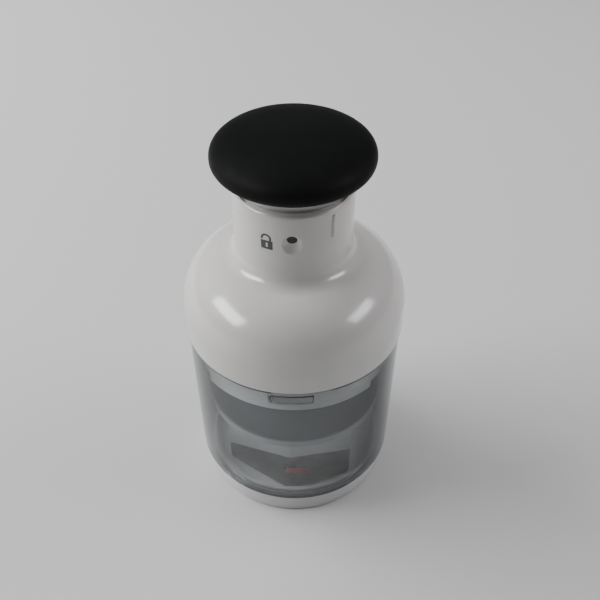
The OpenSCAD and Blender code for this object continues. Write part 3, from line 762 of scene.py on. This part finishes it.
drawing = bmesh.new()
bmesh.ops.create_grid(drawing, x_segments=12, y_segments=8, size=0.5,
                      matrix=Matrix.Translation((0, lock_h / 2, 0)) @ Matrix.Diagonal(
                          (lock_w, lock_h, 1, 1)))
keyhole = [f for f in drawing.faces if abs(f.calc_center_median().x) < lock_w / 12 + 0.01
           and abs(f.calc_center_median().y - lock_h * 0.5) < lock_h * 0.2]
bmesh.ops.delete(drawing, geom=keyhole, context="FACES")
arch = bmesh.new()
bar = [arch.verts.new((x, 0, 0)) for x in (shackle_r - shackle_t / 2, shackle_r + shackle_t / 2)]
bmesh.ops.spin(arch, geom=bar + [arch.edges.new(bar)], axis=(0, 0, 1), cent=(0, 0, 0),
               angle=math.pi, steps=20)
legs = [e for e in arch.edges if len(e.link_faces) == 1 and abs(e.verts[0].co.y) < 1e-4
        and abs(e.verts[1].co.y) < 1e-4]
for leg in legs:
    drop = long_leg if leg.verts[0].co.x > 0 else short_leg
    grown = bmesh.ops.extrude_edge_only(arch, edges=[leg])["geom"]
    bmesh.ops.translate(arch, vec=(0, -drop, 0),
                        verts=[g for g in grown if isinstance(g, bmesh.types.BMVert)])
bmesh.ops.transform(arch, matrix=Matrix.Translation((-0.25, lock_h + 0.9, 0))
                    @ Matrix.Rotation(math.radians(-7), 4, "Z"), verts=arch.verts)
join(drawing, arch)
bmesh.ops.solidify(drawing, geom=drawing.faces[:], thickness=ink_t)
# The flat drawing, x to the right and y up, is laid round the neck
for v in drawing.verts:
    angle = lock_angle + v.co.x / neck_r
    r = neck_r + 0.012 + v.co.z
    v.co = Vector((r * math.cos(angle), r * math.sin(angle), lock_low + v.co.y)) * MM
seat(finished(drawing, "padlock_print", 60), "housing", ink, "dark_trim")
dress("stop_pin", black_pin)

# ---- Plunger sleeve ----
# White tube that slides in the neck, with a web across it that the spring pushes up. It is moulded
# in one piece, with an open slot at the front for the stop pin.

sleeve_low, sleeve_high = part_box("plunger_sleeve")
sleeve_r = sleeve_high.x / MM
sleeve_in = sleeve_r - 2
sleeve_top = sleeve_high.z / MM
web_z, web_h, web_hole_r = 138, 3, 5.5
stroke = 38
pin_r, pin_room = 1.95, 0.3
slot_w = 4.6
slot_top, slot_low = sleeve_top + 2, pin_z - stroke - pin_r - pin_room

bm = turned(fillet([
    (sleeve_in, sleeve_low.z / MM, 0.4), (sleeve_r, sleeve_low.z / MM, 0.6),
    (sleeve_r, sleeve_top, 0.15), (sleeve_in, sleeve_top, 0.15),
    (sleeve_in, web_z + web_h, 0.5), (web_hole_r, web_z + web_h, 0.2), (web_hole_r, web_z, 0.2),
    (sleeve_in, web_z, 0.5)]), steps=160)
sleeve = finished(bm, "plunger_sleeve_white")
slot = bmesh.new()
bmesh.ops.create_cube(slot, size=1, matrix=turn_to_front @ Matrix.Translation(
    (sleeve_r * MM, 0, (slot_top + slot_low) / 2 * MM)) @ Matrix.Diagonal(
        (6 * MM, slot_w * MM, (slot_top - slot_low) * MM, 1)))
carve(sleeve, finished(slot, "slot_tool"))
soften(sleeve, 0.2, 55)
seat(sleeve, "plunger", gloss_white, "white_shell", "plunger_sleeve")

# ---- Knob collar ----
# White moulded collar under the dome that turns on the sleeve. Three lugs round it lock under the
# neck's rim, and a web across it takes the knob's screw.

core_low, core_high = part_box("knob_core")
core_wall = 3
core_web_z, core_web_h = neck_top + 0.3, 3
screw_hole_r = 2.4
lock_arc = math.radians(16)
lock_reach, lock_low_z, lock_high_z = 1.15, groove_z + 0.6, groove_z + 3.9

bm = turned(fillet([
    (screw_hole_r, core_web_z, 0.1), (sleeve_in - 0.05, core_web_z, 0.2),
    (sleeve_in - 0.05, core_low.z / MM, 0.2), (sleeve_r, core_low.z / MM, 0.3),
    (sleeve_r, core_high.z / MM, 0.3), (sleeve_r - core_wall, core_high.z / MM, 0.3),
    (sleeve_r - core_wall, core_web_z + core_web_h, 0.5),
    (screw_hole_r, core_web_z + core_web_h, 0.2)]), steps=160)
core = finished(bm, "knob_collar")
lock_lugs = bmesh.new()
for k in range(3):
    join(lock_lugs, ring_block(sleeve_r - 0.5, bore_r + lock_reach, lock_low_z, lock_high_z,
                               lock_arc, lock_first + k * THIRD, 12))
carve(core, finished(lock_lugs, "lock_lugs"), "UNION")
soften(core, 0.2, 55)
seat(core, "knob", gloss_white, "white_shell", "knob_core")

# ---- Palm knob ----
# Thick palm dome in soft black rubber, moulded over the white collar. Its outline is fuller than
# an ellipse, and widest a little under the middle of its height.

black_rubber = moulded("soft_black_rubber", (0.0062, 0.0066, 0.0066), 0.54, peel_mm=0.012,
                       peel_scale=2300.0, tone=0.12, smudge=0.12, scratch=0.05, dust=0.25,
                       dust_color=(0.1, 0.1, 0.1))
shader = shader_of(black_rubber)
shader.inputs["Sheen Weight"].default_value = 0.02
shader.inputs["Sheen Roughness"].default_value = 0.4
shader.inputs["Specular IOR Level"].default_value = 0.08

grip_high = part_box("knob_grip")[1]
knob_r = grip_high.x / MM
knob_top = grip_high.z / MM
knob_low = neck_top + 3
knob_middle = knob_low + 0.46 * (knob_top - knob_low)
fullness = 2.3
socket_r = sleeve_r + 0.1
socket_z = core_web_z + core_web_h + 5


def dome(turn):
    """A point of the dome's outline: turn runs from the underside (-90) to the top (90 degrees)."""
    power = 2 / fullness
    height = knob_top - knob_middle if turn > 0 else knob_middle - knob_low
    rise = math.copysign(abs(math.sin(turn)) ** power, turn)
    return knob_r * abs(math.cos(turn)) ** power, knob_middle + height * rise, 0


outline = [dome(math.radians(a)) for a in range(-88, 90, 2)]
outline = [p for p in outline if p[0] > socket_r + 0.6 or p[1] > knob_middle]
bm = turned(fillet([(0, socket_z, 0), (socket_r, socket_z, 0.3), (socket_r, outline[0][1] - 0.35, 0.4)]
                   + outline + [(0, knob_top, 0)]), steps=200)
seat(finished(bm, "palm_knob"), "knob", black_rubber, "black_grip", "knob_grip")

# ---- Floor, light and camera ----
# A plain pale floor, four broad lights that never show as reflections, and two smaller boxes that
# show in reflections only and give the shoulder its highlights.

floor_finish = finish_of("studio_floor", (0.6, 0.605, 0.61), 0.75)
floor = bmesh.new()
bmesh.ops.create_grid(floor, x_segments=1, y_segments=1, size=6.0)
ground = finished(floor, "floor")
ground.data.materials.append(floor_finish)

sky = bpy.data.worlds.new("studio")
sky.use_nodes = True
sky.node_tree.nodes["Background"].inputs["Color"].default_value = (0.92, 0.95, 1.0, 1)
sky.node_tree.nodes["Background"].inputs["Strength"].default_value = 0.05
bpy.context.scene.world = sky


def soft_box(name, toward, distance, width, height, power_w, color=(1, 1, 1), mirrored=True):
    """A rectangular soft light that faces the object: seen in reflections only, or never in them."""
    lamp = bpy.data.lights.new(name, "AREA")
    lamp.shape = "RECTANGLE"
    lamp.size, lamp.size_y = width, height
    lamp.energy = power_w
    lamp.color = color
    holder = bpy.data.objects.new(name, lamp)
    away = Vector(toward).normalized()
    holder.location = Vector((0, 0, 0.1)) + away * distance
    holder.rotation_euler = away.to_track_quat("Z", "Y").to_euler()
    holder.visible_glossy = mirrored
    holder.visible_diffuse = not mirrored
    bpy.context.scene.collection.objects.link(holder)


soft_box("left_key", (-0.84, 0.18, 0.5), 1.5, 1.3, 1.1, 38.0, (1.0, 0.99, 0.965), mirrored=False)
soft_box("right_key", (0.86, 0.18, 0.48), 1.5, 1.2, 1.0, 12.6, (1.0, 0.96, 0.97), mirrored=False)
soft_box("back_key", (-0.25, 0.75, 0.75), 1.4, 1.1, 0.7, 5.0, (0.96, 0.98, 1.0), mirrored=False)
soft_box("top_key", (0.0, -0.05, 1.0), 1.5, 1.0, 1.0, 5.0, (0.97, 0.98, 1.0), mirrored=False)
soft_box("left_box", (-0.8, -0.2, 0.49), 1.1, 0.68, 0.34, 12.0)
soft_box("right_box", (0.84, -0.18, 0.48), 1.15, 0.56, 0.28, 5.0)

looks_down = math.radians(42.39)
camera_data = bpy.data.cameras.new("camera")
camera_data.lens = 45.0
camera_data.sensor_width = 36.0
camera_data.clip_end = 20.0
camera = bpy.data.objects.new("camera", camera_data)
camera.location = (0.00253, -0.2444, 0.3206)
camera.rotation_euler = (math.pi / 2 - looks_down, 0, 0)
bpy.context.scene.collection.objects.link(camera)
bpy.context.scene.camera = camera
